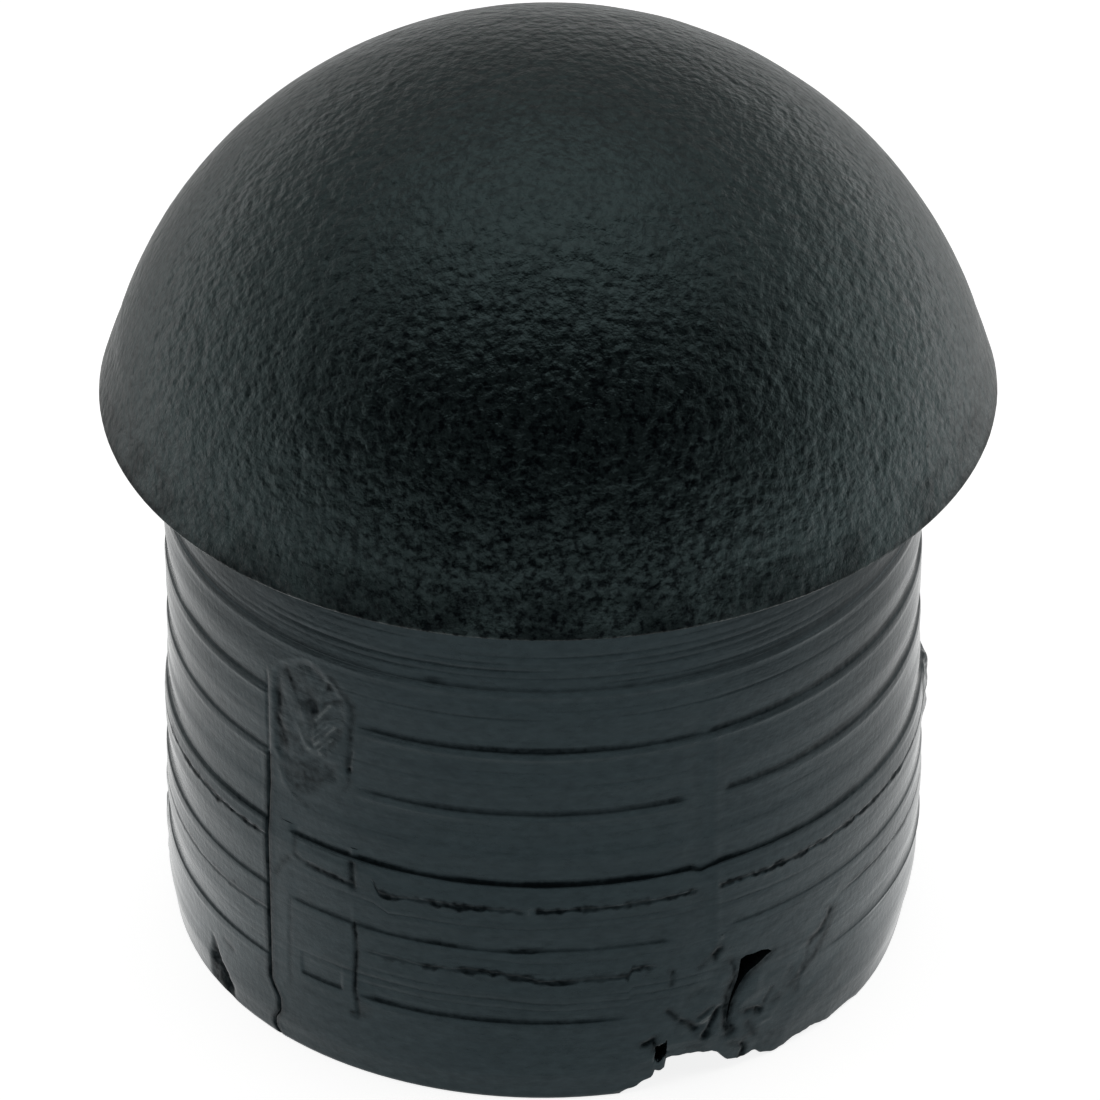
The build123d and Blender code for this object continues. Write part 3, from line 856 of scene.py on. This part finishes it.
def surface(graph, colour, rough, gloss, tint, height, bump):
    """Lead what varies over the rubber to its shader; `bump` is the relief's depth in metres."""
    relief = graph.node("ShaderNodeBump", {"Height": height, "Distance": bump, "Strength": 1.0})
    inputs = {"Base Color": colour, "Roughness": rough, "Specular IOR Level": gloss, "Normal": relief.outputs["Normal"]}
    inputs |= {"IOR": RUBBER_IOR, "Specular Tint": (*tint, 1)}
    graph.show(graph.node("ShaderNodeBsdfPrincipled", inputs))


# head: leathery moulded grain
head_rubber, graph, place = rubber("head_grained_rubber")
fine = graph.noise(place, 4400, 3.0, 0.6)
broad = graph.noise(place, 1400, 2.0, 0.5)
pebbles = graph.pebbles(place, 3300, 0.7)
grain = graph.add(graph.times(fine, 0.5), graph.times(pebbles, -0.3), graph.times(broad, 0.8))
# dark flecks in the grain, fainter towards the crown and the sides: darker colour everywhere, and painted shade in the
# grain's hollows by less gloss, strongest low on the front
flecks = graph.ramp(graph.noise(place, 4300, 3.0, 0.65), 0.44, 0.62, 0.0, 1.0)
x_place, _, z_place = graph.split(place)
hollow = graph.times(flecks, graph.ramp(z_place, 0.0225, 0.0262, 0.54, 0.18))
hollow = graph.times(hollow, graph.ramp(graph.times(x_place, x_place), 1.2e-5, 4.6e-5, 1.42, 0.5))
# less gloss where painted: painted shade at the rim's edge and on the skirt
gloss = graph.math("SUBTRACT", 1.0, graph.times(graph.attribute("matt_and_shade"), 0.85))
gloss = graph.times(gloss, graph.math("SUBTRACT", 0.70, graph.times(hollow, 0.70)))
colour = graph.mix(flecks, (0.0042, 0.0070, 0.0076), (0.0002, 0.0004, 0.0016))
surface(graph, colour, graph.ramp(fine, 0.3, 0.7, 0.29, 0.39), gloss, (0.63, 0.91, 0.93), grain, 0.000105)

# shank: satin, with fine marks round it
shank_rubber, graph, place = rubber("shank_satin_rubber")
marks_round = graph.noise(graph.stretch(place, (0.05, 0.05, 1.0)), 5200, 3.0, 0.6)
bands_round = graph.noise(graph.stretch(place, (0.04, 0.04, 1.0)), 1400, 2.0, 0.5)
mottle = graph.noise(graph.stretch(place, (0.45, 0.45, 1.0)), 5200, 3.0, 0.65)
dust = graph.noise(place, 5200, 2.0, 0.6)
tone = graph.noise(place, 420, 4.0, 0.6)
torn_and_lit, dull_and_shade = graph.attribute("torn_and_highlight"), graph.attribute("matt_and_shade")
relief = graph.add(graph.times(marks_round, 0.6), bands_round, graph.times(dust, 0.8))
colour = graph.mix(graph.ramp(tone, 0.35, 0.65, 0, 1), (0.0055, 0.0085, 0.0105), (0.0080, 0.0118, 0.0140))
# paler where the rubber is torn, and painted highlight on raised lips
colour = graph.mix(torn_and_lit, colour, (0.050, 0.057, 0.059))
colour = graph.mix(graph.ramp(torn_and_lit, 0.82, 1.0, 0, 1), colour, (0.17, 0.18, 0.18))
rough = graph.add(graph.ramp(marks_round, 0.3, 0.7, 0.14, 0.25), graph.times(dull_and_shade, 0.25))
grainy = graph.times(dull_and_shade, graph.ramp(dust, 0.3, 0.7, 0.70, 1.22))
# less gloss where the rubber is dulled, and painted shade in ring corners, grooves, cuts and hollows
gloss = graph.times(graph.ramp(grainy, 0.0, 1.0, 0.51, 0.03), graph.ramp(mottle, 0.3, 0.7, 0.84, 1.16))
surface(graph, colour, rough, gloss, (0.62, 0.90, 1.0), relief, 0.000011)

mesh.materials.append(shank_rubber)
mesh.materials.append(head_rubber)

# the cut is applied, so that the mesh itself has the hole
depsgraph = bpy.context.evaluated_depsgraph_get()
cut_mesh = bpy.data.meshes.new_from_object(cap.evaluated_get(depsgraph))
cap.modifiers.clear()
cap.data = cut_mesh
cut_mesh.name = "end_cap_rubber"
bpy.data.meshes.remove(cutter.data)
cut_mesh.set_sharp_from_angle(angle=math.radians(60))


HOLE_AZIMUTH, HOLE_HEIGHT = 32.2, 2.85  # its middle
HOLE_ROUND, HOLE_UP = 5.2, 1.45  # how far it reaches either way
OUTER_SKIN = 10.4


def by_hole(points):
    """Which points lie on the wall's skin near the hole."""
    x, y, z = points[:, 0] + HEAD_SHIFT, points[:, 1], points[:, 2]
    beside = np.abs(np.degrees(np.arctan2(x, -y)) - HOLE_AZIMUTH) < HOLE_ROUND
    level_with = np.abs(z - HOLE_HEIGHT) < HOLE_UP
    return np.nonzero(beside & level_with & (np.hypot(x, y) > OUTER_SKIN))[0]


# the cut's new corners take the paint of the nearest old one
places = np.zeros(3 * len(cut_mesh.vertices))
cut_mesh.vertices.foreach_get("co", places)
places = places.reshape(-1, 3) / MM
old, new = by_hole(vertices), by_hole(places)
nearest = old[np.argmin(((places[new][:, None] - vertices[old]) ** 2).sum(-1), axis=1)]
for label, values in (("torn_and_highlight", marks), ("matt_and_shade", dull_and_shade_values)):
    painted = np.zeros(len(places), np.float32)
    cut_mesh.attributes[label].data.foreach_get("value", painted)
    painted[new] = values[nearest]
    cut_mesh.attributes[label].data.foreach_set("value", painted)

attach(cap, "root")
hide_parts("end_cap")

# ---------------------------------------------------------------- floor
HALF_FLOOR = 3
floor_corners = [(x * HALF_FLOOR, y * HALF_FLOOR, 0) for x, y in ((-1, -1), (1, -1), (1, 1), (-1, 1))]
floor_mesh = bpy.data.meshes.new("floor")
floor_mesh.from_pydata(floor_corners, [], [(0, 1, 2, 3)])
floor = bpy.data.objects.new("floor", floor_mesh)
bpy.context.scene.collection.objects.link(floor)
floor_paint = bpy.data.materials.new("floor_paint")
graph = Graph(floor_paint, "ShaderNodeOutputMaterial")
ray = graph.node("ShaderNodeLightPath").outputs
camera_ray, glossy_ray = ray["Is Camera Ray"], ray["Is Glossy Ray"]
seen = graph.math("MAXIMUM", graph.math("MAXIMUM", camera_ray, glossy_ray), ray["Is Transmission Ray"])
x_floor, y_floor, _ = graph.split(graph.node("ShaderNodeNewGeometry").outputs["Position"])
# painted light: in reflections the sheet glows brighter and darker in bands beside the object, standing in for the side
# cards' light on it
bands = graph.add(
    *(
        graph.ramp(along, start, end, 0.0, change)
        for along, start, end, change in (
            (x_floor, 0.020, 0.030, -0.45), (x_floor, 0.040, 0.058, 1.26), (x_floor, 0.080, 0.110, -0.68),
            (x_floor, -0.022, -0.034, -0.62), (x_floor, -0.045, -0.062, 0.76), (x_floor, -0.07, -0.10, 0.02),
            (y_floor, 0.045, 0.075, -0.24),
        )
    )
)
off_axis = graph.math("ABSOLUTE", x_floor)
# painted light: in reflections the sheet glows brighter close beside and just in front of the object, over its shadow
near = graph.add(graph.ramp(off_axis, 0.009, 0.0115, 0.0, 0.36), graph.ramp(off_axis, 0.0125, 0.017, 0.0, -0.36))
near = graph.times(near, graph.ramp(y_floor, -0.012, -0.003, 0.0, 1.0))
front = graph.times(graph.ramp(y_floor, -0.0155, -0.012, 0.0, 0.14), graph.ramp(y_floor, -0.004, 0.004, 1.0, 0.0))
bands = graph.add(bands, graph.add(near, front))
bright = graph.add(graph.times(seen, 0.66), graph.times(bands, glossy_ray), graph.times(camera_ray, 0.19))
paint = graph.node("ShaderNodeBsdfDiffuse", {"Color": (0.55, 0.55, 0.55, 1)})
glow = graph.node("ShaderNodeEmission", {"Strength": bright})
sheet = graph.node("ShaderNodeAddShader", {0: paint.outputs[0], 1: glow.outputs[0]})
# painted shade: for reflections only, the sheet turns dark towards the camera's side, as if it ended there towards a
# dark room, as its reflections show
beyond = graph.times(graph.ramp(y_floor, -0.25, -0.08, 0.88, 0.0), glossy_ray)
dark = graph.node("ShaderNodeEmission", {"Strength": 0.0})
graph.show(graph.node("ShaderNodeMixShader", {0: beyond, 1: sheet.outputs[0], 2: dark.outputs[0]}))
floor_mesh.materials.append(floor_paint)

# ---------------------------------------------------------------- light
world = bpy.data.worlds.new("studio")
bpy.context.scene.world = world
graph = Graph(world, "ShaderNodeOutputWorld")
x_dir, y_dir, z_dir = graph.split(graph.node("ShaderNodeTexCoord").outputs["Generated"])
# a white tent round the table, open towards the camera, where the room is dark; brightest low at the sides
cards = graph.add(graph.ramp(x_dir, 0.35, 0.90, 0.0, 1.10), graph.ramp(x_dir, -0.30, -0.90, 0.0, 0.56))
cards = graph.times(cards, graph.ramp(z_dir, 0.10, 0.75, 1.0, 0.0))
low, top = graph.ramp(z_dir, 0.05, 0.60, 0.46, 0.31), graph.ramp(z_dir, 0.75, 0.98, 0.0, 0.40)
tent = graph.ramp(graph.add(y_dir, graph.times(z_dir, 0.42)), -0.06, 0.13, 0.0, 1.0)
room = graph.times(graph.ramp(z_dir, 0.15, 0.30, 0.98, 0.0), graph.ramp(z_dir, 0.0, 0.13, 0.16, 1.0))
room = graph.times(room, graph.math("SUBTRACT", 1.0, tent))
level = graph.add(graph.times(graph.add(low, top, cards), tent), room)
grey = graph.node("ShaderNodeCombineColor", {k: graph.times(level, tint) for k, tint in enumerate((1.0, 1.0, 0.98))})
studio = graph.node("ShaderNodeBackground", {"Color": grey.outputs[0]})
white = graph.node("ShaderNodeBackground")
camera_ray = graph.node("ShaderNodeLightPath").outputs["Is Camera Ray"]
graph.show(graph.node("ShaderNodeMixShader", {0: camera_ray, 1: studio.outputs[0], 2: white.outputs[0]}))

LAMP_PLACE, CAP_MIDDLE = Vector((0.0, 0.20, 1.2)), Vector((0, 0, 0.014))
lamp = bpy.data.lights.new("overhead", "AREA")
lamp.shape = "RECTANGLE"
lamp.size, lamp.size_y = 1.6, 1.2
lamp.energy = 2.4
overhead = bpy.data.objects.new("overhead", lamp)
overhead.location = LAMP_PLACE
overhead.rotation_euler = (CAP_MIDDLE - LAMP_PLACE).to_track_quat("-Z", "Y").to_euler()
bpy.context.scene.collection.objects.link(overhead)

# ---------------------------------------------------------------- camera
LENS_PX = 8984.0
FRAME_PX = 1100.0
SENSOR = 36
ELEVATION = math.radians(35.598)
DISTANCE = 260.16
AIM = Vector((0, 0, 6.126))
AIM_PX = (548.7, 700.0)
ROLL = math.radians(0.177)
forward = Vector((0, math.cos(ELEVATION), -math.sin(ELEVATION)))
right = Vector((1, 0, 0))
up = right.cross(forward)
eye = AIM - forward * DISTANCE
pitch_up = math.atan((AIM_PX[1] - FRAME_PX / 2) / LENS_PX)
turn_right = math.atan((FRAME_PX / 2 - AIM_PX[0]) / LENS_PX)
look = Matrix((right, up, -forward)).transposed()
look = look @ Matrix.Rotation(pitch_up, 3, "X") @ Matrix.Rotation(-turn_right, 3, "Y") @ Matrix.Rotation(-ROLL, 3, "Z")
lens = bpy.data.cameras.new("camera")
lens.sensor_width = SENSOR
lens.lens = LENS_PX / FRAME_PX * SENSOR
lens.clip_start = 0.01
camera = bpy.data.objects.new("camera", lens)
camera.matrix_world = Matrix.Translation(eye * MM) @ look.to_4x4()
bpy.context.scene.collection.objects.link(camera)
bpy.context.scene.camera = camera

bpy.context.scene.view_settings.view_transform = "Standard"
